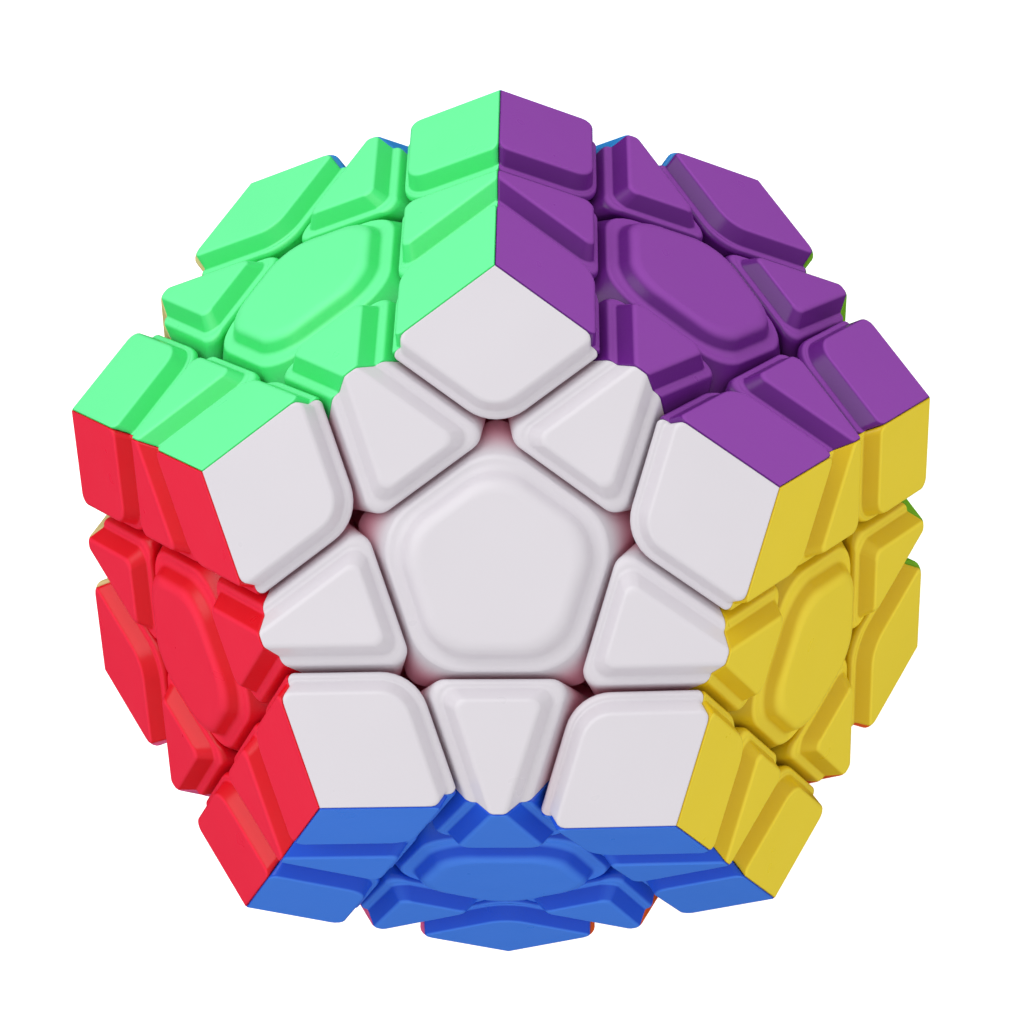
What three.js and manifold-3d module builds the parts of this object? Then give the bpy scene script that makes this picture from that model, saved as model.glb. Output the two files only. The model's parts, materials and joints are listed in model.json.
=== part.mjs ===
// A dodecahedron twisty puzzle with twelve colours and one cut below each face.
//
// Twenty corner pieces and thirty edge pieces hook under twelve centre pieces. Every centre is
// held by a sprung screw to a twelve-armed core. The origin is the middle of the core, +Z is the
// axis of the white face and +Y points at the white face's corner between green and purple.
// Three faces that share no piece (yellow, red and sky blue) have a loose centre made of a hub, a
// cap and a screw. The nine other centres stay fixed to the core and are one solid with it. The
// yellow and red layers were left a few degrees off square when the puzzle was put down.

import * as THREE from 'three';
import { mergeVertices } from 'three/addons/utils/BufferGeometryUtils.js';
import Module from 'manifold-3d';

const wasm = await Module();
wasm.setup();

// ---- driving dimensions, in millimetres and degrees ----

const EDGE = 37;                // one side of a face
const PAD_RISE = 1.8;           // height of the raised pad above the rim around it
const CUT_FROM_CENTRE = 10.9;   // centre of a face to its cut lines, on the rim
const GAP = 0.5;                // between neighbouring pieces
const PAD_FOOT = 1.1;           // rim border to the foot of the raised pad
const PAD_CREST = 2.1;          // rim border to the crest of the raised pad
const CAP_CREST = 3.0;          // the same, on a centre
const CORNER_ROUND = 5.6;       // radius of a corner piece's inner corner, on the rim
const EDGE_ROUND = 1.8;         // radius of an edge piece's inner corners, on the rim
const CENTRE_ROUND = 6;         // radius of a centre's five corners, on the rim
const LARGE_ARC_CHORDS = 2;     // flats that stand for the arc of a large rounding
const SMALL_ARC_CHORDS = 1;

const NECK_ANGLE = 42;          // half angle of the cone that the necks of a layer turn on
const FOOT_ANGLE = 48;          // half angle of the cone that its hooked feet turn on
const FOOT_TOP = 33.5;          // radius of the spherical shell over the feet
const FOOT_BOTTOM = 28.6;       // flat sole of a foot, from the middle of the core

const BALL_RADIUS = 12;
const ARM_RADIUS = 4.2;
const ARM_END = 19.2;
const STEM_RADIUS = 7.2;
const STEM_END = 19.6;
const HUB_TOP = 36.4;
const CAP_BOTTOM = 36.8;
const PEG_RADIUS = 4.1;
const PEG_LENGTH = 2.2;
const SPRING_WELL_RADIUS = 4.5;
const SPRING_WELL_FLOOR = 22.4;
const SCREW_HOLE_RADIUS = 2;
const SCREW_HOLE_BOTTOM = 6.6;
const SCREW_RADIUS = 1.6;
const SCREW_TIP = 8.4;
const SCREW_HEAD_BOTTOM = 30.6;
const SCREW_HEAD_TOP = 32.8;
const SCREW_HEAD_RADIUS = 3.4;
const SLOT_WIDTH = 0.9;
const SLOT_LENGTH = 4.2;
const SLOT_DEPTH = 1.1;

const LATHE_SEGMENTS = 20;
const BORE_SEGMENTS = 10;
const BLOCK = 200;              // size of a cutting block, larger than the puzzle
const OVERLAP = 1.8;            // how far solids reach into each other where they are joined
const MERGE_DISTANCE = 1e-4;    // between points that are one vertex
const ANGLE_TOLERANCE = 0.01;   // when the cosines of two angles are compared

// ---- the dodecahedron ----

const degrees = THREE.MathUtils.degToRad;
const FACE_HEIGHT = EDGE / 2 * Math.sqrt((25 + 11 * Math.sqrt(5)) / 10);  // above the middle
const TILT_COS = 1 / Math.sqrt(5);          // cosine between neighbouring face axes
const TILT_SIN = 2 / Math.sqrt(5);
const RIM_HEIGHT = FACE_HEIGHT - PAD_RISE;
const CUT_HEIGHT = TILT_COS * RIM_HEIGHT + TILT_SIN * CUT_FROM_CENTRE;  // plane under a layer

// Upper faces by azimuth, and the lower face opposite each of them.
const FACES = [
  { name: 'white', colour: '#ece9ec', axis: new THREE.Vector3(0, 0, 1) },
  { name: 'green', colour: '#5ff58a', axis: faceAxis(126) },
  { name: 'purple', colour: '#7a2a9c', axis: faceAxis(54) },
  { name: 'yellow', colour: '#ead534', axis: faceAxis(342) },
  { name: 'blue', colour: '#2a66cc', axis: faceAxis(270) },
  { name: 'red', colour: '#fb2c45', axis: faceAxis(198) },
  { name: 'gray', colour: '#8d9096', axis: new THREE.Vector3(0, 0, -1) },
  { name: 'orange', colour: '#ff8a26', axis: faceAxis(126).negate() },
  { name: 'pink', colour: '#ff8fc0', axis: faceAxis(54).negate() },
  { name: 'cream', colour: '#f3e7b4', axis: faceAxis(342).negate() },
  { name: 'sky_blue', colour: '#56b9f2', axis: faceAxis(270).negate() },
  { name: 'lime', colour: '#a6dc3a', axis: faceAxis(198).negate() },
];
const TURNING_FACES = ['yellow', 'red', 'sky_blue'];
const REST_TURNS = { yellow: 3, red: 1.7 };   // degrees anticlockwise, seen from outside
const INNER_COLOUR = '#7d3a52';
const STEEL_COLOUR = '#b9bcc0';

function faceAxis(azimuth) {
  const angle = degrees(azimuth);
  return new THREE.Vector3(TILT_SIN * Math.cos(angle), TILT_SIN * Math.sin(angle), TILT_COS);
}

function touch(a, b) {
  return Math.abs(a.axis.dot(b.axis) - TILT_COS) < ANGLE_TOLERANCE;
}

function neighbours(...faces) {
  return FACES.filter((other) => faces.every((face) => touch(face, other)));
}

// Direction in the plane of one face that points at its neighbour.
function towards(face, neighbour) {
  return neighbour.axis.clone().addScaledVector(face.axis, -TILT_COS).normalize();
}

// ---- solids ----

function solid(geometry) {
  const bare = geometry.index ? geometry.toNonIndexed() : geometry.clone();
  bare.deleteAttribute('normal');
  bare.deleteAttribute('uv');
  const merged = mergeVertices(bare, MERGE_DISTANCE);
  return new wasm.Manifold(new wasm.Mesh({
    numProp: 3,
    vertProperties: new Float32Array(merged.attributes.position.array),
    triVerts: new Uint32Array(merged.index.array),
  }));
}

function geometryOf(body) {
  const mesh = body.getMesh();
  const geometry = new THREE.BufferGeometry();
  geometry.setAttribute('position', new THREE.BufferAttribute(mesh.vertProperties, 3));
  geometry.setIndex(new THREE.BufferAttribute(mesh.triVerts, 1));
  geometry.computeVertexNormals();
  return geometry;
}

function alongAxis(geometry, axis) {
  const up = new THREE.Vector3(0, 0, 1);
  return geometry.applyQuaternion(new THREE.Quaternion().setFromUnitVectors(up, axis));
}

// Everything with direction . point <= reach, as a tetrahedron larger than the puzzle. The cut is
// made by one of its triangles, so it stays exactly flat.
function below({ direction, reach }) {
  const cutter = new THREE.TetrahedronGeometry(3 * BLOCK);
  const bottom = new THREE.Vector3(-1, -1, -1).normalize();
  const outwards = direction.clone().normalize();
  cutter.applyQuaternion(new THREE.Quaternion().setFromUnitVectors(bottom, outwards));
  const shift = reach / direction.length() - BLOCK;
  return solid(cutter.translate(...outwards.multiplyScalar(shift).toArray()));
}

function cutTo(body, planes) {
  return planes.reduce((rest, plane) => rest.intersect(below(plane)), body);
}

const atHeight = (face, height) => ({ direction: face.axis, reach: height });
const above = (axis, height) => ({ direction: axis.clone().negate(), reach: -height });
const block = solid(new THREE.BoxGeometry(BLOCK, BLOCK, BLOCK));
const dodecahedron = cutTo(block, FACES.map((face) => atHeight(face, FACE_HEIGHT)));

// A turned solid about a face axis, from points of radius and height.
function turned(profile, axis, segments) {
  const points = profile.map(([radius, height]) => new THREE.Vector2(radius, height));
  const lathe = new THREE.LatheGeometry(points, segments);
  lathe.rotateX(Math.PI / 2);
  return solid(alongAxis(lathe, axis));
}

function rod(radius, bottom, top, axis) {
  return turned([[0, bottom], [radius, bottom], [radius, top], [0, top]], axis, BORE_SEGMENTS);
}

// ---- the layer that turns about one face axis ----

// A layer is all that lies above its cut plane, with the necks and hooked feet of its pieces
// below, bounded by cones about the face axis. A positive clearance shrinks it.
function layer(face, clearance) {
  const onCone = (angle, distance) => [
    distance * Math.sin(degrees(angle)) - clearance * Math.cos(degrees(angle)),
    distance * Math.cos(degrees(angle)) + clearance * Math.sin(degrees(angle)),
  ];
  const shell = FOOT_TOP - clearance;
  const floor = CUT_HEIGHT + clearance;
  const tip = clearance / Math.sin(degrees(FOOT_ANGLE));
  const neckTip = clearance / Math.sin(degrees(NECK_ANGLE));
  return turned([
    [0, tip],
    onCone(FOOT_ANGLE, shell),
    onCone(NECK_ANGLE, shell),
    [(floor - neckTip) * Math.tan(degrees(NECK_ANGLE)), floor],
    [BLOCK / 2, floor],
    [BLOCK / 2, BLOCK / 2],
    [0, BLOCK / 2],
  ], face.axis, LATHE_SEGMENTS);
}

const within = (face) => layer(face, GAP / 2);
const outside = (face) => layer(face, -GAP / 2);

// ---- tiles: the rim and the raised pad that a piece shows on one face ----

// A wall of a tile faces along `facing` in the plane of the face, stands at `reach` on the rim's
// level, and leans inwards by `lean` for each millimetre of height.
function wall(face, facing, reach, lean) {
  return {
    direction: facing.clone().addScaledVector(face.axis, lean),
    reach: reach + lean * RIM_HEIGHT,
  };
}

// The border of the raised pad along the cut of a neighbour's layer. The neighbour's own pieces
// stand on side +1 of that cut and all others on side -1.
function padWall(face, neighbour, side, crest) {
  const facing = towards(face, neighbour).multiplyScalar(-side);
  const lean = (crest - PAD_FOOT) / PAD_RISE;
  return wall(face, facing, -side * CUT_FROM_CENTRE - GAP / 2 - PAD_FOOT, lean);
}

// The point where two cut lines of a tile cross on the rim's level, each moved in by `inset`.
function cutCrossing(face, first, second, sides, inset) {
  const a = towards(face, first);
  const b = towards(face, second);
  const cosine = a.dot(b);
  const reachA = CUT_FROM_CENTRE + sides[0] * inset;
  const reachB = CUT_FROM_CENTRE + sides[1] * inset;
  const scale = 1 / (1 - cosine * cosine);
  return a.multiplyScalar((reachA - cosine * reachB) * scale)
    .addScaledVector(b, (reachB - cosine * reachA) * scale);
}

// Walls that round a tile's corner between two cuts, as chords of an arc of the given radius.
// `leanOf` gives the lean of a wall from the way it faces and its reach.
function roundingWalls(face, first, second, sides, inset, radius, chords, leanOf) {
  const middle = cutCrossing(face, first, second, sides, inset + radius);
  const start = towards(face, first).multiplyScalar(-sides[0]);
  const end = towards(face, second).multiplyScalar(-sides[1]);
  return Array.from({ length: chords }, (_, index) => {
    const share = (index + 1) / (chords + 1);
    const facing = start.clone().lerp(end, share).normalize();
    const reach = middle.dot(facing) + radius;
    return wall(face, facing, reach, leanOf(facing, reach));
  });
}

// The rounding of a rim fades out where the cut walls meet the neck.
function rimRounding(face, first, second, sides, radius, chords) {
  const neck = neckEdge(face, first, second);
  const fade = (facing, reach) => (
    (reach - neck.dot(facing)) / (neck.dot(face.axis) - RIM_HEIGHT)
  );
  return roundingWalls(face, first, second, sides, GAP / 2, radius, chords, fade);
}

function padRounding(face, first, second, sides, radius, chords, crest) {
  const lean = () => (crest - PAD_FOOT) / PAD_RISE;
  return roundingWalls(face, first, second, sides, GAP / 2 + PAD_FOOT, radius, chords, lean);
}

// The point on the crossing of two cut planes where both neck cones begin.
function neckEdge(face, first, second) {
  const across = first.axis.clone().add(second.axis);
  const nearest = across.multiplyScalar(CUT_HEIGHT / (1 + TILT_COS));
  const along = first.axis.clone().cross(second.axis).normalize();
  const distance = CUT_HEIGHT / Math.cos(degrees(NECK_ANGLE));
  const reach = Math.sqrt(distance ** 2 - nearest.lengthSq());
  return nearest.addScaledVector(along, Math.sign(along.dot(face.axis)) * reach);
}

// What a tile leaves out above its rim, around the raised pad inside the given walls.
function trench(face, padWalls) {
  return cutTo(block, [above(face.axis, RIM_HEIGHT)]).subtract(cutTo(block, padWalls));
}

// ---- the three kinds of piece ----

function middleOf(faces) {
  return faces.reduce((sum, face) => sum.add(face.axis), new THREE.Vector3()).normalize();
}

function cornerPiece(faces) {
  const tiles = faces.map((face, index) => [face, faces[(index + 1) % 3], faces[(index + 2) % 3]]);
  const held = faces.reduce((rest, face) => rest.intersect(within(face)), dodecahedron);
  const rounded = cutTo(held, tiles.flatMap(([face, a, b]) => (
    rimRounding(face, a, b, [1, 1], CORNER_ROUND, LARGE_ARC_CHORDS)
  )));
  const padRound = CORNER_ROUND - PAD_FOOT;
  const shaped = tiles.reduce((rest, [face, a, b]) => rest.subtract(trench(face, [
    padWall(face, a, 1, PAD_CREST),
    padWall(face, b, 1, PAD_CREST),
    ...padRounding(face, a, b, [1, 1], padRound, LARGE_ARC_CHORDS, PAD_CREST),
  ])), rounded);
  return cutTo(shaped, [above(middleOf(faces), FOOT_BOTTOM)]);
}

function edgePiece(faces) {
  const ends = neighbours(...faces);
  const tiles = [faces, [faces[1], faces[0]]];
  const held = faces.reduce((rest, face) => rest.intersect(within(face)), dodecahedron);
  const freed = ends.reduce((rest, face) => rest.subtract(outside(face)), held);
  const rounded = cutTo(freed, tiles.flatMap(([face, other]) => (
    ends.flatMap((end) => (
      rimRounding(face, other, end, [1, -1], EDGE_ROUND, SMALL_ARC_CHORDS)
    ))
  )));
  const shaped = tiles.reduce((rest, [face, other]) => rest.subtract(trench(face, [
    padWall(face, other, 1, PAD_CREST),
    ...ends.map((end) => padWall(face, end, -1, PAD_CREST)),
  ])), rounded);
  return cutTo(shaped, [above(middleOf(faces), FOOT_BOTTOM)]);
}

// The round underside of a centre: a stem that clears the feet of the edge pieces, a shoulder
// that rests on them, and a flange that passes inside the neck cones of the five neighbours.
function flange(face) {
  const tilt = Math.acos(TILT_COS);
  const clearance = GAP / 2 / FOOT_TOP;
  const shoulder = tilt - degrees(FOOT_ANGLE) - clearance;
  const rim = tilt - degrees(NECK_ANGLE) - clearance;
  const at = (angle, distance) => [distance * Math.sin(angle), distance * Math.cos(angle)];
  const neckEnd = CUT_HEIGHT / Math.cos(degrees(NECK_ANGLE));
  const seat = FOOT_TOP + GAP / 2;
  return turned([
    [0, FOOT_BOTTOM],
    [FOOT_BOTTOM * Math.tan(shoulder), FOOT_BOTTOM],
    at(shoulder, seat),
    at(rim, seat),
    at(rim, neckEnd),
    [BLOCK / 2, neckEnd * Math.cos(rim)],
    [BLOCK / 2, BLOCK / 2],
    [0, BLOCK / 2],
  ], face.axis, LATHE_SEGMENTS);
}

// A centre without its stem: rim, raised pad and flange.
function centreBlock(face) {
  const around = neighbours(face);
  const crossings = around.flatMap((a, index) => (
    around.slice(index + 1).filter((b) => touch(a, b)).map((b) => [a, b])
  ));
  const freed = cutTo(dodecahedron.intersect(flange(face)), [
    ...around.map((other) => atHeight(other, CUT_HEIGHT - GAP / 2)),
    ...crossings.flatMap(([a, b]) => (
      rimRounding(face, a, b, [-1, -1], CENTRE_ROUND, SMALL_ARC_CHORDS)
    )),
  ]);
  const padRound = CENTRE_ROUND - PAD_FOOT;
  return freed.subtract(trench(face, [
    ...around.map((other) => padWall(face, other, -1, CAP_CREST)),
    ...crossings.flatMap(([a, b]) => (
      padRounding(face, a, b, [-1, -1], padRound, LARGE_ARC_CHORDS, CAP_CREST)
    )),
  ]));
}

// ---- the loose centres and the core ----

function hub(face) {
  const shaft = centreBlock(face).add(rod(STEM_RADIUS, STEM_END, FOOT_TOP, face.axis));
  const shortened = cutTo(shaft, [atHeight(face, HUB_TOP)]);
  const well = rod(SPRING_WELL_RADIUS, SPRING_WELL_FLOOR, FACE_HEIGHT, face.axis);
  const hole = rod(SCREW_HOLE_RADIUS, 0, FACE_HEIGHT, face.axis);
  return shortened.subtract(well).subtract(hole);
}

function cap(face) {
  const peg = rod(PEG_RADIUS, CAP_BOTTOM - PEG_LENGTH, CAP_BOTTOM + OVERLAP / 2, face.axis);
  return cutTo(centreBlock(face), [above(face.axis, CAP_BOTTOM)]).add(peg);
}

function screw(face) {
  const body = turned([
    [0, SCREW_TIP],
    [SCREW_RADIUS, SCREW_TIP + SCREW_RADIUS],
    [SCREW_RADIUS, SCREW_HEAD_BOTTOM],
    [SCREW_HEAD_RADIUS, SCREW_HEAD_BOTTOM],
    [SCREW_HEAD_RADIUS, SCREW_HEAD_TOP],
    [0, SCREW_HEAD_TOP],
  ], face.axis, BORE_SEGMENTS);
  const slots = [[SLOT_LENGTH, SLOT_WIDTH], [SLOT_WIDTH, SLOT_LENGTH]].map(([length, width]) => {
    const box = new THREE.BoxGeometry(length, width, 2 * SLOT_DEPTH);
    return solid(alongAxis(box.translate(0, 0, SCREW_HEAD_TOP), face.axis));
  });
  return body.subtract(slots[0].add(slots[1]));
}

// The ball and its twelve arms, with the nine centres that stay fixed to it.
function coreWithFixedCentres() {
  const ball = solid(new THREE.IcosahedronGeometry(BALL_RADIUS, 1));
  return FACES.reduce((rest, face) => {
    const core = rest.add(rod(ARM_RADIUS, 0, ARM_END, face.axis));
    if (!TURNING_FACES.includes(face.name)) {
      const stem = rod(STEM_RADIUS, ARM_END - OVERLAP, FOOT_TOP, face.axis);
      return core.add(centreBlock(face)).add(stem);
    }
    return core.subtract(rod(SCREW_HOLE_RADIUS, SCREW_HOLE_BOTTOM, ARM_END + OVERLAP, face.axis));
  }, ball);
}

// ---- assembly ----

const puzzle = new THREE.Group();

function material(colour, roughness = 0.32, metalness = 0) {
  return new THREE.MeshStandardMaterial({ color: colour, roughness, metalness });
}

// A two- or three-coloured piece takes the mean of its colours here.
function meanColour(faces) {
  const sum = faces.reduce((total, face) => total.add(new THREE.Color(face.colour)),
    new THREE.Color(0, 0, 0));
  return sum.multiplyScalar(1 / faces.length);
}

function addMesh(name, geometry, look) {
  const mesh = new THREE.Mesh(geometry, look);
  mesh.name = name;
  puzzle.add(mesh);
  return mesh;
}

function axesFrame(first, second) {
  const across = first.axis.clone().cross(second.axis).normalize();
  return new THREE.Matrix4().makeBasis(first.axis, across.clone().cross(first.axis), across);
}

// The turn of the whole puzzle that takes one pair of neighbouring faces to another pair.
function turnBetween(from, to) {
  const back = axesFrame(from[0], from[1]).transpose();
  const turn = axesFrame(to[0], to[1]).multiply(back);
  return new THREE.Quaternion().setFromRotationMatrix(turn);
}

// Faces in anticlockwise order around the corner that they share, seen from outside.
function anticlockwise([a, b, c]) {
  return a.axis.clone().cross(b.axis).dot(c.axis) > 0 ? [a, b, c] : [a, c, b];
}

// How far a piece is turned at rest with the layer that it is in, if that layer is off square.
function restTurn(faces) {
  const turnedFace = faces.find((face) => face.name in REST_TURNS);
  if (!turnedFace) {
    return new THREE.Quaternion();
  }
  const angle = degrees(REST_TURNS[turnedFace.name]);
  return new THREE.Quaternion().setFromAxisAngle(turnedFace.axis, angle);
}

function placeCopies(kind, pieces, shape) {
  const geometry = geometryOf(shape(pieces[0]));
  pieces.forEach((faces) => {
    const listed = FACES.filter((face) => faces.includes(face));
    const name = [kind, ...listed.map((face) => face.name)].join('_');
    const mesh = addMesh(name, geometry, material(meanColour(faces)));
    mesh.quaternion.copy(restTurn(faces)).multiply(turnBetween(pieces[0], faces));
  });
}

const edges = FACES.flatMap((a, index) => (
  FACES.slice(index + 1).filter((b) => touch(a, b)).map((b) => [a, b])
));
const corners = edges.flatMap(([a, b]) => (
  neighbours(a, b)
    .filter((c) => FACES.indexOf(c) > FACES.indexOf(b))
    .map((c) => anticlockwise([a, b, c]))
));

placeCopies('corner', corners, cornerPiece);
placeCopies('edge', edges, edgePiece);
addMesh('core_with_fixed_centres', geometryOf(coreWithFixedCentres()), material(INNER_COLOUR));

const turningFaces = FACES.filter((face) => TURNING_FACES.includes(face.name));
for (const face of turningFaces) {
  const centre = [
    addMesh(`hub_${face.name}`, geometryOf(hub(face)), material(INNER_COLOUR, 0.45)),
    addMesh(`cap_${face.name}`, geometryOf(cap(face)), material(face.colour)),
  ];
  centre.forEach((mesh) => mesh.quaternion.copy(restTurn([face])));
  addMesh(`screw_${face.name}`, geometryOf(screw(face)), material(STEEL_COLOUR, 0.35, 0.9));
}

export default puzzle;
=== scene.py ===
"""Looks of a dodecahedron twisty puzzle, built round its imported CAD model.

Every corner piece is three coloured tiles on a plum foot, every edge piece is two tiles on a foot,
and every centre is a cap on a sprung hub that a screw holds to the core. One tile, foot, cap, hub,
screw and spring of each kind is made in the place of the white face and then turned into all the
others. Lengths are in millimetres up to the point where a mesh becomes a Blender object.
"""
import json
import math

import bmesh
import bpy
from mathutils import Matrix, Vector

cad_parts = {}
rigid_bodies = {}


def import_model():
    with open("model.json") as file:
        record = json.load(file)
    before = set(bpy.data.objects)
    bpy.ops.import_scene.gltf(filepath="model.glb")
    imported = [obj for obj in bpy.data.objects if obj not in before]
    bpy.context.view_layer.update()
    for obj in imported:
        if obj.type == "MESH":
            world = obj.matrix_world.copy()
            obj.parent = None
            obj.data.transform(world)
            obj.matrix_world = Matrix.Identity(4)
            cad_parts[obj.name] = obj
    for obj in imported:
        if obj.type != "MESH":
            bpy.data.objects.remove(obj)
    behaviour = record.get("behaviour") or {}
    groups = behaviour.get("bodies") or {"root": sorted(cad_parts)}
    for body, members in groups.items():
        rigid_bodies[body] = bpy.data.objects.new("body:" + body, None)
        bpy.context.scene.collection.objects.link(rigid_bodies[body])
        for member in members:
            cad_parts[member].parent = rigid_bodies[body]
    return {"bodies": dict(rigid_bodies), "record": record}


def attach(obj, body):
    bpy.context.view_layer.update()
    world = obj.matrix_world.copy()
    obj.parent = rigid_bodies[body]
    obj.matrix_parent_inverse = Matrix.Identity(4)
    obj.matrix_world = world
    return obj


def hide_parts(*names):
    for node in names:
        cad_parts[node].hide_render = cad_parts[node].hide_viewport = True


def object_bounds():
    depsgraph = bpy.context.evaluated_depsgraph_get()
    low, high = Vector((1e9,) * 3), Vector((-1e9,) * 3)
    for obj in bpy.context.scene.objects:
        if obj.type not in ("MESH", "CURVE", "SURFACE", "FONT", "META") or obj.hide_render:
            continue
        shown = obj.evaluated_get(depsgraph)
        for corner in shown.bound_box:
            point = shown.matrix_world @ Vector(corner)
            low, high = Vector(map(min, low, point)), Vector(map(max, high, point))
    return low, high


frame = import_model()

CAD_LOW, CAD_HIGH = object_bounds()
MM = 0.001

# ---- driving dimensions, in millimetres and degrees ----

FACE_HEIGHT = -CAD_LOW.z / MM        # the puzzle rests on its gray face
PAD_RISE = 1.8                       # height of the raised pad above the rim around it
CUT_FROM_CENTRE = 10.9               # centre of a face to its cut lines, on the rim
GAP = 0.5                            # between neighbouring pieces
SEAM = 0.015                         # half the gap between two tiles of one piece
RIM_HEIGHT = FACE_HEIGHT - PAD_RISE

TILT = math.acos(1 / math.sqrt(5))   # between the axes of neighbouring faces
RIDGE_RATE = math.tan(TILT / 2)      # distance of a ridge from its face's axis, for its height
LEAN = math.cos(TILT) / math.sin(TILT)   # how far a cut runs sideways, for its height
CUT_HEIGHT = math.cos(TILT) * RIM_HEIGHT + math.sin(TILT) * CUT_FROM_CENTRE
FIFTH = math.tau / 5

NECK_ANGLE = math.radians(42)        # half the opening of the cones round a layer's necks
FOOT_ANGLE = math.radians(48)        # and round its hooked feet
FOOT_TOP = 33.5                      # from the core's centre to the hooks' upper side
FOOT_BOTTOM = 28.6                   # and to their underside

# ---- faces, layers and places ----

UPPER_FACES = {"green": 126, "purple": 54, "yellow": 342, "blue": 270, "red": 198}
LOWER_FACES = {"orange": 306, "pink": 234, "cream": 162, "sky_blue": 90, "lime": 18}
REST_TURNS = {"yellow": 3, "red": 1.7}   # degrees anticlockwise that two layers are off square


def tilted_axis(azimuth, side):
    across = math.sin(TILT)
    angle = math.radians(azimuth)
    return Vector((across * math.cos(angle), across * math.sin(angle), side * math.cos(TILT)))


AXES = {"white": Vector((0, 0, 1))}
AXES.update({name: tilted_axis(azimuth, 1) for name, azimuth in UPPER_FACES.items()})
AXES["gray"] = Vector((0, 0, -1))
AXES.update({name: tilted_axis(azimuth, -1) for name, azimuth in LOWER_FACES.items()})
FACES = list(AXES)


def touch(a, b):
    return math.isclose(AXES[a].dot(AXES[b]), math.cos(TILT), abs_tol=0.01)


def neighbours(*faces):
    return [other for other in FACES if all(touch(face, other) for face in faces)]


def local_axis(turn):
    """A neighbour's axis in the white face's frame, so many fifths of a turn from local +X."""
    angle = FIFTH * turn
    return Vector((math.sin(TILT) * math.cos(angle), math.sin(TILT) * math.sin(angle),
                   math.cos(TILT)))


def neck_edge_height():
    """Height in a face's frame where the cuts of two neighbours meet both their neck cones."""
    first, second = local_axis(0), local_axis(1)
    nearest = (first + second) * CUT_HEIGHT / (1 + math.cos(TILT))
    along = first.cross(second).normalized()
    reach = math.sqrt((CUT_HEIGHT / math.cos(NECK_ANGLE)) ** 2 - nearest.length_squared)
    return (nearest + along * reach).z


def place(face, neighbour):
    """The turn from the white face's frame to a face's, with local +X towards a neighbour."""
    axis = AXES[face]
    towards = (AXES[neighbour] - axis * math.cos(TILT)).normalized()
    columns = Matrix((towards, axis.cross(towards), axis))
    return columns.transposed().to_4x4()


def rest_turn(faces):
    for face in faces:
        if face in REST_TURNS:
            return Matrix.Rotation(math.radians(REST_TURNS[face]), 4, AXES[face])
    return Matrix.Identity(4)


def anticlockwise(a, b, c):
    return (a, b, c) if AXES[a].cross(AXES[b]).dot(AXES[c]) > 0 else (a, c, b)


EDGES = [(a, b) for i, a in enumerate(FACES) for b in FACES[i + 1:] if touch(a, b)]
CORNERS = [
    anticlockwise(a, b, c)
    for a, b in EDGES
    for c in neighbours(a, b)
    if FACES.index(c) > FACES.index(b)
]


def node_name(kind, faces):
    return "_".join([kind] + sorted(faces, key=FACES.index))


BODY_OF_NODE = {
    node: body
    for body, nodes in frame["record"]["behaviour"]["bodies"].items()
    for node in nodes
}
LAYERS = {body[:-len("_layer")]: body for body in frame["bodies"] if body.endswith("_layer")}


def body_of_centre(face):
    return LAYERS.get(face, "core")


# ---- from profile to tile ----

PIECE_FILLETS = {1: 0.55, -1: 0.75}   # rounding between a wall and the rim, by side of the cut
CAP_FILLETS = {-1: 0.6}
RIDGE_FILLET = 0.14         # rounding of a pad along the ridge that it shares
TILE_FLOOR = neck_edge_height()       # height of a tile's underside, where the necks begin
CAP_FLOOR = 35.1            # height of a cap's underside, on its hub

PIECE_PAD = {"foot": 1.15, "crest": 2.15, "foot_fillet": 0.45, "crest_fillet": 0.6}
CAP_PAD = {"foot": 1.6, "crest": 2.5, "foot_fillet": 0.9, "crest_fillet": 1.4}
PAD_EASES = {0: 1, 1: 1, -1: 1.25}    # how much wider the slope of a pad is, by side of the cut

CORNER_ROUND = 5.6          # radii of the corners between two cuts, on the rim
EDGE_ROUND = 1.8
CAP_ROUND = 6.0
PAD_ROUND_LOSS = 0.35       # how fast these radii shrink up a pad, for its inset
END_ROUND = 0.35            # radius where a cut runs out at a ridge
PAD_END_ROUNDS = {1: 0.9, -1: 0.45}   # the same on a pad, by side of the cut

MERGE_DISTANCE = 1e-4       # between points that are one, such as those of a corner of no radius
WALL_STEPS = 9
FILLET_STEPS = 5
CORNER_STEPS = 8
END_STEPS = 4


def rounded_inset(drop, lean, fillet):
    """Inset of a wall that leans in by `lean` for each step down, rounded over at its top."""
    slant = math.hypot(1, lean)
    if drop >= fillet * (1 + lean / slant):
        return lean * drop
    rise = fillet - drop
    return fillet * (slant + lean) - math.sqrt(max(fillet ** 2 - rise ** 2, 0))


def ridge_inset(height):
    """How far a tile's side lies inside the crest of the ridge that it shares."""
    return rounded_inset(FACE_HEIGHT - height, RIDGE_RATE, RIDGE_FILLET)


def border_heights(floor, fillets):
    """Levels of a tile's border: its floor, then closer and closer together up to the rim."""
    rounded = max(fillet * (1 + side * LEAN / math.hypot(1, LEAN))
                  for side, fillet in fillets.items())
    shares = [math.cos(math.pi / 2 * step / WALL_STEPS) for step in range(WALL_STEPS + 1)]
    return [floor] + [RIM_HEIGHT - rounded * (1 - math.sqrt(1 - share ** 2)) for share in shares]


def pad_profile(foot, crest, foot_fillet, crest_fillet):
    """Points of inset and height up the slope of a pad, rounded at its foot and its crest."""
    slope = math.atan2(PAD_RISE, crest - foot)
    foot_start = foot - foot_fillet * math.tan(slope / 2)
    crest_end = crest + crest_fillet * math.tan(slope / 2)
    angles = [slope * step / FILLET_STEPS for step in range(FILLET_STEPS + 1)]
    lower = [
        (foot_start + foot_fillet * math.sin(a), RIM_HEIGHT + foot_fillet * (1 - math.cos(a)))
        for a in angles
    ]
    upper = [
        (crest_end - crest_fillet * math.sin(a), FACE_HEIGHT - crest_fillet * (1 - math.cos(a)))
        for a in reversed(angles)
    ]
    return lower + upper


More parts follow.
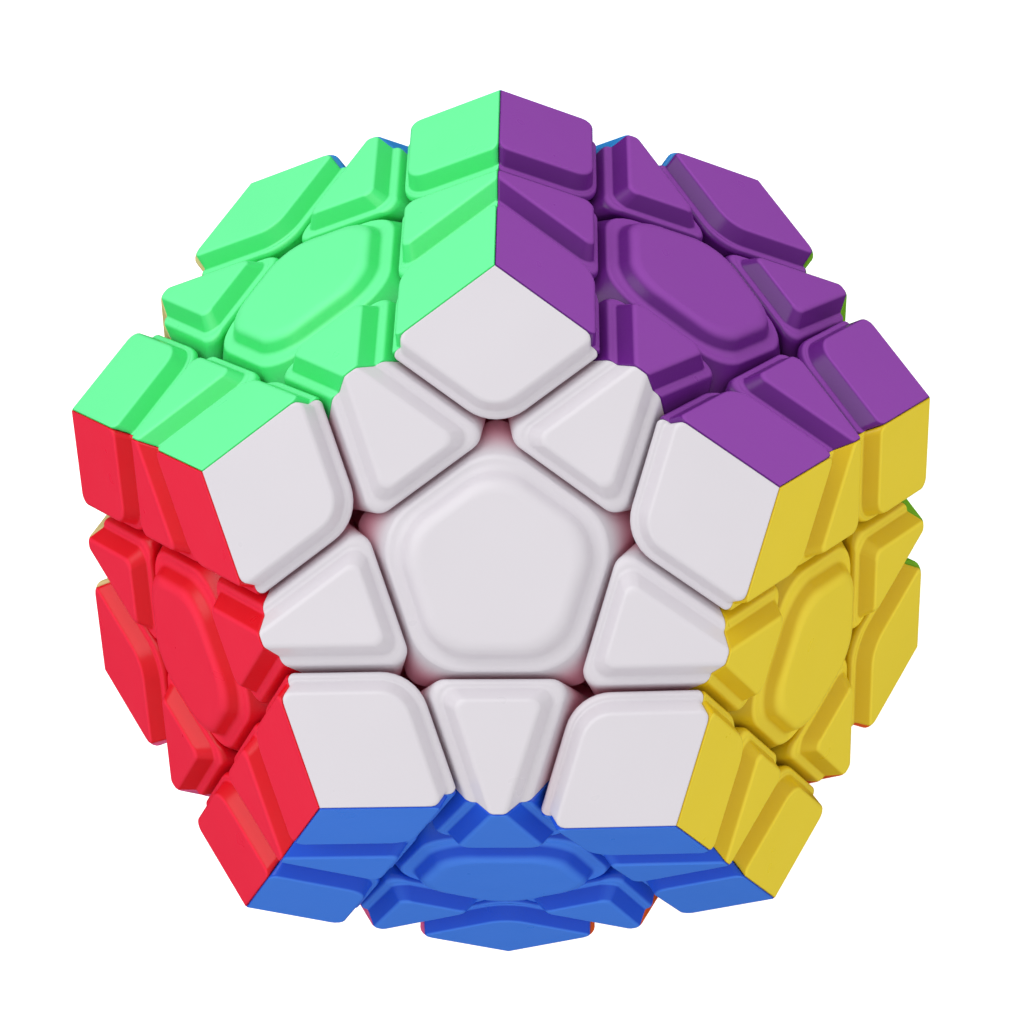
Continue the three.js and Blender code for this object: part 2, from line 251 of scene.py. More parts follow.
class Side:
    """One side of a tile: a cut, or the ridge of the face if its kind is 0.

    kind is +1 where the tile stands beyond the cut, seen from the face's centre, and -1 inside it.
    """

    def __init__(self, angle, kind, fillets):
        self.kind = kind
        self.fillet = fillets.get(kind)
        self.facing = angle + (math.pi if kind > 0 else 0)

    def reach(self, height, inset):
        if self.kind == 0:
            return RIDGE_RATE * FACE_HEIGHT - ridge_inset(height) - SEAM
        rim_line = -self.kind * CUT_FROM_CENTRE - GAP / 2 / math.sin(TILT)
        if inset is None:
            inset = rounded_inset(RIM_HEIGHT - height, self.kind * LEAN, self.fillet)
        return rim_line - inset


def direction(angle):
    return Vector((math.cos(angle), math.sin(angle)))


def crossing(side_a, side_b, reach_a, reach_b):
    """Where two sides at given reaches meet."""
    a = direction(side_a.facing)
    b = direction(side_b.facing)
    cosine = a.dot(b)
    scale = 1 / (1 - cosine ** 2)
    return a * (reach_a - cosine * reach_b) * scale + b * (reach_b - cosine * reach_a) * scale


def ring(sides, height, insets, rounds, segments):
    """The outline of a tile at one height, as points, with every corner rounded."""
    reaches = [side.reach(height, inset) for side, inset in zip(sides, insets)]
    points = []
    for index, side in enumerate(sides):
        after = (index + 1) % len(sides)
        radius = rounds[index]
        middle = crossing(side, sides[after], reaches[index] - radius, reaches[after] - radius)
        sweep = (sides[after].facing - side.facing) % math.tau
        for step in range(segments[index] + 1):
            share = step / segments[index] if segments[index] else 0.5
            point = middle + direction(side.facing + sweep * share) * radius
            points.append(Vector((point.x, point.y, height)))
    return points


def skin(rings):
    """A closed mesh over a stack of rings with equal numbers of points."""
    mesh = bmesh.new()
    rows = [[mesh.verts.new(point) for point in row] for row in rings]
    for low, high in zip(rows, rows[1:]):
        for index in range(len(low)):
            after = (index + 1) % len(low)
            mesh.faces.new((low[index], low[after], high[after], high[index]))
    mesh.faces.new(list(reversed(rows[0])))
    mesh.faces.new(rows[-1])
    bmesh.ops.remove_doubles(mesh, verts=mesh.verts, dist=MERGE_DISTANCE)
    return mesh


def tile(places, fillets, cut_round, pad, pad_round, floor):
    """A tile with a border, a rim and a raised pad, from the angle and the kind of each side.

    cut_round is the radius of the corners between two cuts on the rim, and pad_round(inset) is
    their radius up the pad.
    """
    sides = [Side(angle, kind, fillets) for angle, kind in places]

    def is_cut_corner(index):
        return sides[index].kind and sides[(index + 1) % len(sides)].kind

    def is_apex(index):
        return not sides[index].kind and not sides[(index + 1) % len(sides)].kind

    def end_round(index, share):
        kind = sides[index].kind or sides[(index + 1) % len(sides)].kind
        return END_ROUND + (PAD_END_ROUNDS[kind] - END_ROUND) * share

    def rounds(cut, share):
        return [
            cut if is_cut_corner(i) else 0 if is_apex(i) else end_round(i, share)
            for i in range(len(sides))
        ]

    segments = [
        CORNER_STEPS if is_cut_corner(i) else 0 if is_apex(i) else END_STEPS
        for i in range(len(sides))
    ]
    rings = []
    for height in border_heights(floor, fillets):
        grown = (height - TILE_FLOOR) / (RIM_HEIGHT - TILE_FLOOR)
        cut = max(cut_round * grown, 0)
        insets = [None] * len(sides)
        rings.append(ring(sides, height, insets, rounds(cut, 0), segments))
    slope = pad_profile(**pad)
    crest = slope[-1][0]
    for inset, height in slope:
        insets = [crest - (crest - inset) * PAD_EASES[side.kind] for side in sides]
        pad_rounds = rounds(pad_round(inset), inset / crest)
        rings.append(ring(sides, height, insets, pad_rounds, segments))
    return skin(rings)


def corner_tile():
    return tile([(0, 0), (FIFTH, 0), (0, 1), (FIFTH, 1)], PIECE_FILLETS, CORNER_ROUND, PIECE_PAD,
                lambda inset: CORNER_ROUND - inset, TILE_FLOOR)


def edge_tile():
    return tile([(0, 0), (FIFTH, -1), (0, 1), (-FIFTH, -1)], PIECE_FILLETS, EDGE_ROUND, PIECE_PAD,
                lambda inset: EDGE_ROUND - PAD_ROUND_LOSS * inset, TILE_FLOOR)


def cap_tile():
    return tile([(FIFTH * index, -1) for index in range(5)], CAP_FILLETS, CAP_ROUND, CAP_PAD,
                lambda inset: CAP_ROUND - PAD_ROUND_LOSS * inset, CAP_FLOOR)


# ---- turned and cut solids ----

LATHE_SEGMENTS = 72
BLOCK = 90                  # reach of a cutting solid, larger than the puzzle


def turned(profile, segments=LATHE_SEGMENTS):
    """A closed solid from points of radius and height, from pole to pole or back to the start."""
    mesh = bmesh.new()
    rows = []
    closed = profile[0] == profile[-1]
    for radius, height in profile[:-1] if closed else profile:
        if radius == 0:
            rows.append([mesh.verts.new((0, 0, height))])
        else:
            angles = [math.tau * index / segments for index in range(segments)]
            rows.append([
                mesh.verts.new((radius * math.cos(a), radius * math.sin(a), height))
                for a in angles
            ])
    if closed:
        rows.append(rows[0])
    for low, high in zip(rows, rows[1:]):
        for index in range(segments):
            after = (index + 1) % segments
            corners = [low[index % len(low)], low[after % len(low)],
                       high[after % len(high)], high[index % len(high)]]
            unique = list(dict.fromkeys(corners))
            mesh.faces.new(unique)
    bmesh.ops.recalc_face_normals(mesh, faces=mesh.faces)
    return mesh


def oriented(mesh, axis):
    mesh.transform(Vector((0, 0, 1)).rotation_difference(axis).to_matrix().to_4x4())
    return mesh


def box(low, high):
    mesh = bmesh.new()
    bmesh.ops.create_cube(mesh, size=1)
    size = Vector(high) - Vector(low)
    middle = (Vector(high) + Vector(low)) / 2
    mesh.transform(Matrix.Translation(middle) @ Matrix.Diagonal((*size, 1)))
    return mesh


def half_space(axis, height, above=False):
    """A block with one face through the point at that height on the axis."""
    bottom, top = (0, BLOCK) if above else (-BLOCK, 0)
    slab = box((-BLOCK, -BLOCK, bottom), (BLOCK, BLOCK, top))
    slab.transform(Matrix.Translation((0, 0, height)))
    return oriented(slab, axis)


def scratch_object(mesh):
    data = bpy.data.meshes.new("scratch")
    mesh.to_mesh(data)
    mesh.free()
    obj = bpy.data.objects.new("scratch", data)
    bpy.context.scene.collection.objects.link(obj)
    return obj


def combined(mesh, steps):
    """The mesh after boolean steps, each an operation and another mesh."""
    base = scratch_object(mesh)
    others = [scratch_object(other) for _, other in steps]
    for (operation, _), other in zip(steps, others):
        modifier = base.modifiers.new(operation, "BOOLEAN")
        modifier.operation = operation
        modifier.solver = "MANIFOLD"
        modifier.object = other
    bpy.context.view_layer.update()
    evaluated = base.evaluated_get(bpy.context.evaluated_depsgraph_get())
    result = bmesh.new()
    result.from_mesh(evaluated.to_mesh())
    evaluated.to_mesh_clear()
    for obj in [base] + others:
        data = obj.data
        bpy.data.objects.remove(obj)
        bpy.data.meshes.remove(data)
    return result


# ---- feet ----

FOOT_REACH = 35             # more than any foot extends along the local axes
FLOOR_GAP = 0.05            # between a foot's plum top and the tiles on it


def layer_solid(axis, clearance):
    """All that turns with a face: the part above its cut, the necks and the hooked feet."""
    def on_cone(angle, distance):
        return (
            distance * math.sin(angle) - clearance * math.cos(angle),
            distance * math.cos(angle) + clearance * math.sin(angle),
        )

    shell = FOOT_TOP - clearance
    floor = CUT_HEIGHT + clearance
    neck_tip = clearance / math.sin(NECK_ANGLE)
    profile = [
        (0, clearance / math.sin(FOOT_ANGLE)),
        on_cone(FOOT_ANGLE, shell),
        on_cone(NECK_ANGLE, shell),
        ((floor - neck_tip) * math.tan(NECK_ANGLE), floor),
        (BLOCK, floor),
        (BLOCK, BLOCK),
        (0, BLOCK),
    ]
    return oriented(turned(profile), axis)


def foot_solid(inside, outside):
    """The neck and hooked foot of a piece that belongs to some layers and keeps out of others."""
    middle = sum(inside, Vector()).normalized()
    steps = [("INTERSECT", layer_solid(axis, GAP / 2)) for axis in inside[1:]]
    steps += [("DIFFERENCE", layer_solid(axis, -GAP / 2)) for axis in outside]
    steps += [("INTERSECT", half_space(axis, TILE_FLOOR - FLOOR_GAP)) for axis in inside]
    steps += [("INTERSECT", half_space(middle, FOOT_BOTTOM, above=True))]
    steps += [("INTERSECT", box((0, -FOOT_REACH, 0), (FOOT_REACH, FOOT_REACH, FOOT_REACH)))]
    return combined(layer_solid(inside[0], GAP / 2), steps)


def corner_foot():
    return foot_solid([Vector((0, 0, 1)), local_axis(0), local_axis(1)], [])


def edge_foot():
    inside = [Vector((0, 0, 1)), local_axis(0)]
    return foot_solid(inside, [local_axis(1), local_axis(-1)])


# ---- hub, screw, spring and core ----

STEM_RADIUS = 7.2
STEM_END = 19.6
STEM_FILLET = 0.6
WELL_RADIUS = 4.5           # of the hollow that holds the spring and the screw's head
WELL_FLOOR = 22.4
SCREW_HOLE_RADIUS = 2
HUB_TOP = CAP_FLOOR - 0.1
HUB_RIM_ROUND = 0.4

SCREW_RADIUS = 1.6
THREAD_DEPTH = 0.22
THREAD_PITCH = 0.9
THREAD_SEGMENTS = 20
ROWS_PER_PITCH = 10
SCREW_TIP = 8.4
TIP_SHARE = 0.15            # of the screw's radius, at its tip
THREAD_END = 19.0
HEAD_BOTTOM = 30.6
HEAD_TOP = 32.8
HEAD_RADIUS = 3.4
HEAD_ROUND = 0.7
HEAD_SEGMENTS = 40
PLUG_RADIUS = SCREW_RADIUS * 0.9      # of the stub under the head, inside the shank
PLUG_LENGTH = 0.4
RECESS_WIDTH = 0.9
RECESS_LENGTH = 4.2
RECESS_DEPTH = 1.1

SPRING_RADIUS = 2.95
WIRE_RADIUS = 0.36
WIRE_SEGMENTS = 8
SPRING_TURNS = 6
STEPS_PER_TURN = 24
SPRING_PLAY = 0.05          # between the spring and what it presses on
SPRING_FLOOR = WELL_FLOOR + WIRE_RADIUS + SPRING_PLAY
SPRING_TOP = HEAD_BOTTOM - WIRE_RADIUS - SPRING_PLAY

BALL_RADIUS = 12
ARM_RADIUS = 4.2
ARM_END = 19.2
ARM_END_ROUND = 0.5
ARM_FILLET = 2.2            # at the arm's flared root
FLARE_STEPS = 6
ARM_ROOT_DEPTH = 3          # how far the arm goes on into the ball
ARM_SEGMENTS = 40
SCREW_HOLE_BOTTOM = 6.6
SCREW_HOLE_SEGMENTS = 24

ARC_STEPS = 4
OVERCUT = 1                 # how far a cutting solid stands out of what it cuts


def arc(centre, radius, start, end, steps):
    """Points of radius and height along an arc, angles in degrees from the radial direction."""
    angles = [math.radians(start + (end - start) * step / steps) for step in range(steps + 1)]
    return [(centre[0] + radius * math.cos(a), centre[1] + radius * math.sin(a)) for a in angles]


def hub_solid():
    """Flange, shoulder and stem, with the well for the spring and the hole for the screw."""
    gap_angle = GAP / 2 / FOOT_TOP
    shoulder = TILT - FOOT_ANGLE - gap_angle
    rim = TILT - NECK_ANGLE - gap_angle
    seat = FOOT_TOP + GAP / 2
    neck_end = CUT_HEIGHT / math.cos(NECK_ANGLE)
    flange_radius = neck_end * math.sin(rim)
    stem_corner = (STEM_RADIUS - STEM_FILLET, STEM_END + STEM_FILLET)
    rim_corner = (flange_radius - HUB_RIM_ROUND, HUB_TOP - HUB_RIM_ROUND)
    return turned(
        [(SCREW_HOLE_RADIUS, STEM_END)]
        + arc(stem_corner, STEM_FILLET, -90, 0, ARC_STEPS)
        + [
            (STEM_RADIUS, FOOT_BOTTOM),
            (FOOT_BOTTOM * math.tan(shoulder), FOOT_BOTTOM),
            (seat * math.sin(shoulder), seat * math.cos(shoulder)),
            (seat * math.sin(rim), seat * math.cos(rim)),
            (flange_radius, neck_end * math.cos(rim)),
        ]
        + arc(rim_corner, HUB_RIM_ROUND, 0, 90, ARC_STEPS)
        + [
            (WELL_RADIUS, HUB_TOP),
            (WELL_RADIUS, WELL_FLOOR),
            (SCREW_HOLE_RADIUS, WELL_FLOOR),
            (SCREW_HOLE_RADIUS, STEM_END),
        ]
    )


def threaded_shank():
    """The shank as a grid whose radius follows the thread's helix, pointed at its tip."""
    rows = int((HEAD_BOTTOM - SCREW_TIP) / THREAD_PITCH * ROWS_PER_PITCH)
    rings = []
    for row in range(rows + 1):
        height = SCREW_TIP + (HEAD_BOTTOM - SCREW_TIP) * row / rows
        taper = min((height - SCREW_TIP) / SCREW_RADIUS + TIP_SHARE, 1)
        depth = THREAD_DEPTH if height < THREAD_END else 0
        points = []
        for index in range(THREAD_SEGMENTS):
            angle = math.tau * index / THREAD_SEGMENTS
            phase = (height / THREAD_PITCH - index / THREAD_SEGMENTS) % 1
            groove = depth * abs(2 * phase - 1)
            radius = (SCREW_RADIUS - groove) * taper
            points.append(Vector((radius * math.cos(angle), radius * math.sin(angle), height)))
        rings.append(points)
    return skin(rings)


def screw_solid():
    """A pan-head screw with a cross recess and a helical thread."""
    shoulder = (HEAD_RADIUS - HEAD_ROUND, HEAD_TOP - HEAD_ROUND)
    profile = [
        (0, HEAD_BOTTOM - PLUG_LENGTH),
        (PLUG_RADIUS, HEAD_BOTTOM - PLUG_LENGTH),
        (PLUG_RADIUS, HEAD_BOTTOM),
        (HEAD_RADIUS, HEAD_BOTTOM),
        *arc(shoulder, HEAD_ROUND, 0, 90, FILLET_STEPS),
        (0, HEAD_TOP),
    ]
    head = turned(profile, HEAD_SEGMENTS)
    half_length, half_width = RECESS_LENGTH / 2, RECESS_WIDTH / 2
    floor, lid = HEAD_TOP - RECESS_DEPTH, HEAD_TOP + OVERCUT
    return combined(head, [
        ("DIFFERENCE", box((-half_length, -half_width, floor), (half_length, half_width, lid))),
        ("DIFFERENCE", box((-half_width, -half_length, floor), (half_width, half_length, lid))),
        ("UNION", threaded_shank()),
    ])


def spring_height(turns):
    """Height of the spring's wire so many turns up: a wire's width in each end turn."""
    end_turns = min(turns, 1) + max(turns - SPRING_TURNS + 1, 0)
    open_turns = min(max(turns - 1, 0), SPRING_TURNS - 2)
    pitch = (SPRING_TOP - SPRING_FLOOR - 4 * WIRE_RADIUS) / (SPRING_TURNS - 2)
    return SPRING_FLOOR + 2 * WIRE_RADIUS * end_turns + pitch * open_turns


def spring_solid():
    """A compression spring, as a round wire wound round its axis."""
    upwards = Vector((0, 0, 1))
    around = [math.tau * index / WIRE_SEGMENTS for index in range(WIRE_SEGMENTS)]
    rings = []
    for step in range(SPRING_TURNS * STEPS_PER_TURN + 1):
        turns = step / STEPS_PER_TURN
        angle = math.tau * turns
        outwards = Vector((math.cos(angle), math.sin(angle), 0))
        middle = outwards * SPRING_RADIUS + upwards * spring_height(turns)
        rings.append([
            middle + WIRE_RADIUS * (outwards * math.cos(a) + upwards * math.sin(a))
            for a in around
        ])
    mesh = skin(rings)
    bmesh.ops.recalc_face_normals(mesh, faces=mesh.faces)
    return mesh


def core_solid():
    """The ball and its twelve arms, each with a screw hole and a flared root."""
    ball = bmesh.new()
    bmesh.ops.create_icosphere(ball, subdivisions=4, radius=BALL_RADIUS)
    root = math.sqrt(BALL_RADIUS ** 2 - (ARM_RADIUS + ARM_FILLET) ** 2)
    flare = arc((ARM_RADIUS + ARM_FILLET, root + ARM_FILLET), ARM_FILLET, 270, 180, FLARE_STEPS)
    tip_corner = (ARM_RADIUS - ARM_END_ROUND, ARM_END - ARM_END_ROUND)
    tip = arc(tip_corner, ARM_END_ROUND, 0, 90, ARC_STEPS)
    arm = [
        (0, root - ARM_ROOT_DEPTH),
        (ARM_RADIUS + ARM_FILLET, root - ARM_ROOT_DEPTH),
        *flare,
        *tip,
        (0, ARM_END),
    ]
    hole = [
        (0, SCREW_HOLE_BOTTOM),
        (SCREW_HOLE_RADIUS, SCREW_HOLE_BOTTOM),
        (SCREW_HOLE_RADIUS, ARM_END + OVERCUT),
        (0, ARM_END + OVERCUT),
    ]
    steps = [("UNION", oriented(turned(arm, ARM_SEGMENTS), AXES[face])) for face in FACES]
    steps += [
        ("DIFFERENCE", oriented(turned(hole, SCREW_HOLE_SEGMENTS), AXES[face])) for face in FACES
    ]
    return combined(ball, steps)


# ---- materials ----

SHELL_COLOURS = {
    "white": (0.725, 0.690, 0.735),
    "green": (0.165, 0.980, 0.375),
    "purple": (0.310, 0.066, 0.440),
    "yellow": (0.980, 0.760, 0.045),
    "blue": (0.062, 0.245, 0.930),
    "red": (0.980, 0.022, 0.065),
    "gray": (0.270, 0.280, 0.300),
    "orange": (1.000, 0.250, 0.020),
    "pink": (1.000, 0.280, 0.520),
    "cream": (0.900, 0.790, 0.450),
    "sky_blue": (0.100, 0.480, 0.900),
    "lime": (0.380, 0.720, 0.050),
}
WALL_SHADE_AND_BOUNCE_COLOURS = {"white": (0.720, 0.300, 0.390)}   # painted shade at the foot of a wall; on the white, painted pink bounce light of the plum parts
WALL_SHADE_FACTOR = 0.6           # of the shell's colour in the painted shade there, on the other faces
WALL_SHADE_START = 0.2            # depth below the rim where the painted wall shade begins
WALL_SHADE_DEPTH = 3.5            # and how much further down the painted shade has its full strength
SLOPE_SHADE_COLOURS = {"white": (0.700, 0.665, 0.710)}  # painted shade on the slopes of the pads
SLOPE_SHADE_FACTOR = 0.8          # of the shell's colour in that painted shade, on the other faces
SLOPE_SHADE_POWER = 1.5           # that makes the painted shade's colour purer
SHADE_START_COSINE = 0.96          # of a surface's lean from the face's axis, where the painted slope shade begins
FULL_SHADE_COSINE = 0.6          # and where it has all of the painted slope shade
INNER_COLOUR = (0.780, 0.160, 0.270)
STEEL_COLOUR = (0.55, 0.56, 0.58)
PLASTIC_IOR = 1.5
NOISE_LOW = 0.15            # what a noise seldom falls below
NOISE_HIGH = 0.85           # or rises above


class Nodes:
    """Short names for building one material's nodes."""

    def __init__(self, name):
        self.material = bpy.data.materials.new(name)
        self.material.use_nodes = True
        self.tree = self.material.node_tree
        self.shader = self.tree.nodes["Principled BSDF"]
        coordinates = self.tree.nodes.new("ShaderNodeTexCoord")
        self.place = coordinates.outputs["Object"]
        self.normal = coordinates.outputs["Normal"]

    def link(self, output, target):
        self.tree.links.new(output, target)

    def noise(self, scale, detail=2, roughness=0.5):
        node = self.tree.nodes.new("ShaderNodeTexNoise")
        node.inputs["Scale"].default_value = scale
        node.inputs["Detail"].default_value = detail
        node.inputs["Roughness"].default_value = roughness
        self.link(self.place, node.inputs["Vector"])
        return node.outputs["Fac"]

    def remap(self, value, low, high):
        """A noise spread over the range from low to high."""
        node = self.tree.nodes.new("ShaderNodeMapRange")
        node.inputs["From Min"].default_value = NOISE_LOW
        node.inputs["From Max"].default_value = NOISE_HIGH
        node.inputs["To Min"].default_value = low
        node.inputs["To Max"].default_value = high
        self.link(value, node.inputs["Value"])
        return node.outputs["Result"]

    def mix(self, share, first, second):
        """A blend of two colours, each a constant or another node's output."""
        node = self.tree.nodes.new("ShaderNodeMix")
        node.data_type = "RGBA"
        colours = [socket for socket in node.inputs if socket.type == "RGBA"]
        for socket, colour in zip(colours, (first, second)):
            if isinstance(colour, tuple):
                socket.default_value = (*colour, 1)
            else:
                self.link(colour, socket)
        self.link(share, node.inputs["Factor"])
        return next(output for output in node.outputs if output.type == "RGBA")

    def fall(self, vector, axis, start, end):
        """0 where a vector's part along an axis is at the start value, rising to 1 at the end."""
        along = self.tree.nodes.new("ShaderNodeVectorMath")
        along.operation = "DOT_PRODUCT"
        along.inputs[1].default_value = axis
        self.link(vector, along.inputs[0])
        node = self.tree.nodes.new("ShaderNodeMapRange")
        node.interpolation_type = "SMOOTHSTEP"
        node.inputs["From Min"].default_value = start
        node.inputs["From Max"].default_value = end
        self.link(along.outputs["Value"], node.inputs["Value"])
        return node.outputs["Result"]

    def bump(self, height, strength, distance):
        """A relief of so many metres at full strength, from a height of 0 to 1."""
        node = self.tree.nodes.new("ShaderNodeBump")
        node.inputs["Strength"].default_value = strength
        node.inputs["Distance"].default_value = distance
        self.link(height, node.inputs["Height"])
        self.link(node.outputs["Normal"], self.shader.inputs["Normal"])


def scaled(colour, factor):
    return tuple(min(channel * factor, 1) for channel in colour)


def slope_shaded(colour):
    """A darker and purer colour of the same hue, for the painted shade on the slopes of the pads.
    """
    return tuple(SLOPE_SHADE_FACTOR * channel ** SLOPE_SHADE_POWER for channel in colour)


def moulded_plastic(name, colour, roughness, mottle, grain, face=None):
    """Plastic coloured right through: a faint flow mottle, a fine spark-eroded grain.

    A face's plastic has painted shade on the slopes of its pads, a darker and purer colour where
    they lean from the face's axis, and painted shade at the foot of its walls below the rim, which
    on the white is the painted pink bounce light of the plum parts under it.
    """
    nodes = Nodes(name)
    flow = nodes.remap(nodes.noise(scale=70, detail=3), 0, 1)
    shade = nodes.mix(flow, scaled(colour, 1 - mottle), scaled(colour, 1 + mottle))
    if face:
        # painted shade: the slopes of the pads, leaning from the face's axis, take a darker, purer
        # colour
        slope = nodes.fall(nodes.normal, AXES[face], SHADE_START_COSINE, FULL_SHADE_COSINE)
        shade = nodes.mix(slope, shade, SLOPE_SHADE_COLOURS.get(face, slope_shaded(colour)))
        # painted shade towards the foot of the walls below the rim; on the white, painted pink
        # bounce light
        wall_shade_top = (RIM_HEIGHT - WALL_SHADE_START) * MM
        depth = nodes.fall(nodes.place, AXES[face], wall_shade_top, wall_shade_top - WALL_SHADE_DEPTH * MM)
        shade = nodes.mix(depth, shade, WALL_SHADE_AND_BOUNCE_COLOURS.get(face, scaled(colour, WALL_SHADE_FACTOR)))
    nodes.link(shade, nodes.shader.inputs["Base Color"])
    gloss = nodes.remap(nodes.noise(scale=260), roughness - 0.04, roughness + 0.04)
    nodes.link(gloss, nodes.shader.inputs["Roughness"])
    nodes.bump(nodes.noise(scale=2600), strength=grain, distance=0.04 * MM)
    nodes.shader.inputs["IOR"].default_value = PLASTIC_IOR
    return nodes.material


def steel(name, roughness):
    """Bright metal with fine clouds in its colour and in its polish."""
    nodes = Nodes(name)
    dark, bright = scaled(STEEL_COLOUR, 0.85), scaled(STEEL_COLOUR, 1.1)
    nodes.link(nodes.mix(nodes.noise(scale=900), dark, bright), nodes.shader.inputs["Base Color"])
    polish = nodes.remap(nodes.noise(scale=1500), roughness - 0.06, roughness + 0.08)
    nodes.link(polish, nodes.shader.inputs["Roughness"])
    nodes.bump(nodes.noise(scale=4000), strength=0.15, distance=0.03 * MM)
    nodes.shader.inputs["Metallic"].default_value = 1
    return nodes.material


def make_materials():
    """The material of each slot."""
    made = {
        "shell_" + face: moulded_plastic(face + "_plastic", colour, roughness=0.3, mottle=0.02,
                                         grain=0.25, face=face)
        for face, colour in SHELL_COLOURS.items()
    }
    made["inner_plastic"] = moulded_plastic("plum_plastic", INNER_COLOUR, roughness=0.45,
                                            mottle=0.05, grain=0.4)
    made["screw_steel"] = steel("plated_steel", roughness=0.3)
    made["spring_steel"] = steel("spring_wire", roughness=0.2)
    return made


MATERIALS = make_materials()

# ---- pieces ----

SHARP_ANGLE = math.radians(40)


def finished_mesh(shape, name):
    """A mesh in metres with smooth fillets between flat faces."""
    for face in shape.faces:
        face.smooth = True
    for edge in shape.edges:
        edge.smooth = len(edge.link_faces) != 2 or edge.calc_face_angle(0) < SHARP_ANGLE
    data = bpy.data.meshes.new(name)
    shape.to_mesh(data)
    shape.free()
    data.transform(Matrix.Scale(MM, 4))
    return data


def add_piece(name, data, placement, body, slot, nodes=()):
    """A copy of a mesh, turned into its place in the mesh itself, riding on its body."""
    mesh = data.copy()
    mesh.transform(placement)
    mesh.materials.clear()
    mesh.materials.append(MATERIALS[slot])
    piece = bpy.data.objects.new(name, mesh)
    bpy.context.scene.collection.objects.link(piece)
    weighted = piece.modifiers.new("weighted_normals", "WEIGHTED_NORMAL")
    weighted.keep_sharp = True
    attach(piece, body)
    if nodes:
        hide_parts(*nodes)
    return piece


def add_corners():
    shell = finished_mesh(corner_tile(), "corner_tile")
    foot = finished_mesh(corner_foot(), "corner_foot")
    for faces in CORNERS:
        node = node_name("corner", faces)
        body = BODY_OF_NODE[node]
        turn = rest_turn(faces)
        label = node[len("corner_"):]
        add_piece("corner_foot_" + label, foot, turn @ place(*faces[:2]), body,
                  "inner_plastic", [node])
        for index, face in enumerate(faces):
            spot = turn @ place(face, faces[(index + 1) % 3])
            add_piece(f"corner_tile_{label}.{face}", shell, spot, body, "shell_" + face, [node])


def add_edges():
    shell = finished_mesh(edge_tile(), "edge_tile")
    foot = finished_mesh(edge_foot(), "edge_foot")
    for faces in EDGES:
        node = node_name("edge", faces)
        body = BODY_OF_NODE[node]
        turn = rest_turn(faces)
        label = node[len("edge_"):]
        add_piece("edge_foot_" + label, foot, turn @ place(*faces), body, "inner_plastic", [node])
        for face, other in (faces, faces[::-1]):
            spot = turn @ place(face, other)
            add_piece(f"edge_tile_{label}.{face}", shell, spot, body, "shell_" + face, [node])


def add_centres():
    cap = finished_mesh(cap_tile(), "cap")
    hub = finished_mesh(hub_solid(), "hub")
    screw = finished_mesh(screw_solid(), "screw")
    spring = finished_mesh(spring_solid(), "spring")
    for face in FACES:
        body = body_of_centre(face)
        loose = face in LAYERS
        fixed = place(face, neighbours(face)[0])
        turn = rest_turn([face]) @ fixed
        core = ["core_with_fixed_centres"]
        add_piece("centre_cap_" + face, cap, turn, body, "shell_" + face,
                  ["cap_" + face] if loose else core)
        add_piece("centre_hub_" + face, hub, turn, body, "inner_plastic",
                  ["hub_" + face] if loose else core)
        add_piece("centre_screw_" + face, screw, fixed, "core", "screw_steel",
                  ["screw_" + face] if loose else core)
        add_piece("centre_spring_" + face, spring, fixed, "core", "spring_steel")


def add_core():
    add_piece("core_ball", finished_mesh(core_solid(), "core_ball"), Matrix.Identity(4), "core",
              "inner_plastic", ["core_with_fixed_centres"])


# ---- camera, floor and light ----

CAMERA_TARGET = Vector((0.00087, 0.00283, 0))
CAMERA_DISTANCE = 0.3666
CAMERA_TILT = math.radians(4.6)        # of the view from the white face's axis
CAMERA_AZIMUTH = math.radians(77.1)
CAMERA_ROLL = math.radians(0.31)
CAMERA_LENS = 111.4
CAMERA_CLIP = 0.01

FLOOR_SIZE = 4
FLOOR_SHADE = 0.93
FLOOR_ROUGHNESS = 0.9
FLOOR_GLOW = 0.6
WORLD_GLOW = 0.86
KEY_PLACE = (-0.4, 0.42, 0.5)
KEY_SIZE = 0.9
KEY_WATTS = 2.6


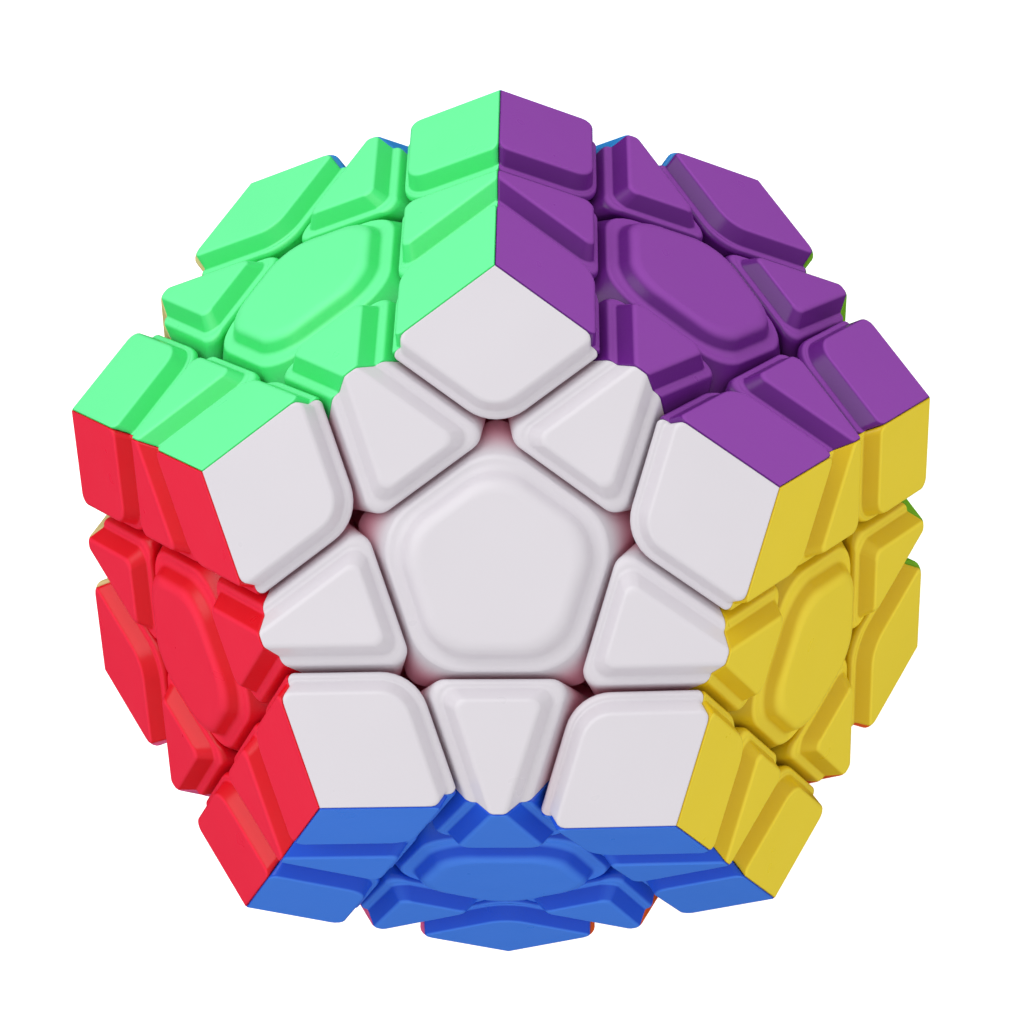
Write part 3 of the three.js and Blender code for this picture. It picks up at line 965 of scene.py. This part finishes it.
def add_camera():
    data = bpy.data.cameras.new("camera")
    data.lens = CAMERA_LENS
    data.clip_start = CAMERA_CLIP
    camera = bpy.data.objects.new("camera", data)
    bpy.context.scene.collection.objects.link(camera)
    back = Vector((
        math.sin(CAMERA_TILT) * math.cos(CAMERA_AZIMUTH),
        math.sin(CAMERA_TILT) * math.sin(CAMERA_AZIMUTH),
        math.cos(CAMERA_TILT),
    ))
    right = Vector((0, 1, 0)).cross(back).normalized()
    upright = Matrix((right, back.cross(right), back)).transposed().to_4x4()
    roll = Matrix.Rotation(-CAMERA_ROLL, 4, "Z")
    camera.matrix_world = (
        Matrix.Translation(CAMERA_TARGET + back * CAMERA_DISTANCE) @ upright @ roll
    )
    bpy.context.scene.camera = camera


def add_softbox(name, where, size, watts):
    data = bpy.data.lights.new(name, "AREA")
    data.shape = "DISK"
    data.size = size
    data.energy = watts
    lamp = bpy.data.objects.new(name, data)
    lamp.location = where
    lamp.rotation_mode = "QUATERNION"
    lamp.rotation_quaternion = Vector(where).to_track_quat("Z", "Y")
    bpy.context.scene.collection.objects.link(lamp)


def add_floor():
    """A white sheet under the puzzle, which lights it neither by glare nor by bounce."""
    mesh = bmesh.new()
    bmesh.ops.create_grid(mesh, x_segments=1, y_segments=1, size=FLOOR_SIZE)
    data = bpy.data.meshes.new("floor")
    mesh.to_mesh(data)
    mesh.free()
    floor = bpy.data.objects.new("floor", data)
    floor.location.z = CAD_LOW.z
    bpy.context.scene.collection.objects.link(floor)
    nodes = Nodes("white_floor")
    nodes.shader.inputs["Base Color"].default_value = (FLOOR_SHADE, FLOOR_SHADE, FLOOR_SHADE, 1)
    nodes.shader.inputs["Roughness"].default_value = FLOOR_ROUGHNESS
    nodes.shader.inputs["Emission Color"].default_value = (1, 1, 1, 1)
    nodes.shader.inputs["Emission Strength"].default_value = FLOOR_GLOW
    data.materials.append(nodes.material)
    floor.visible_glossy = False
    floor.visible_diffuse = False


def add_light():
    """An even white surround that is not mirrored in the plastic, and one large softbox."""
    world = bpy.data.worlds.new("studio")
    world.use_nodes = True
    background = world.node_tree.nodes["Background"]
    background.inputs["Color"].default_value = (1, 1, 1, 1)
    background.inputs["Strength"].default_value = WORLD_GLOW
    bpy.context.scene.world = world
    world.cycles_visibility.glossy = False
    bpy.context.scene.view_settings.view_transform = "Standard"
    add_softbox("key", KEY_PLACE, KEY_SIZE, KEY_WATTS)


add_camera()
add_corners()
add_edges()
add_centres()
add_core()
add_floor()
add_light()
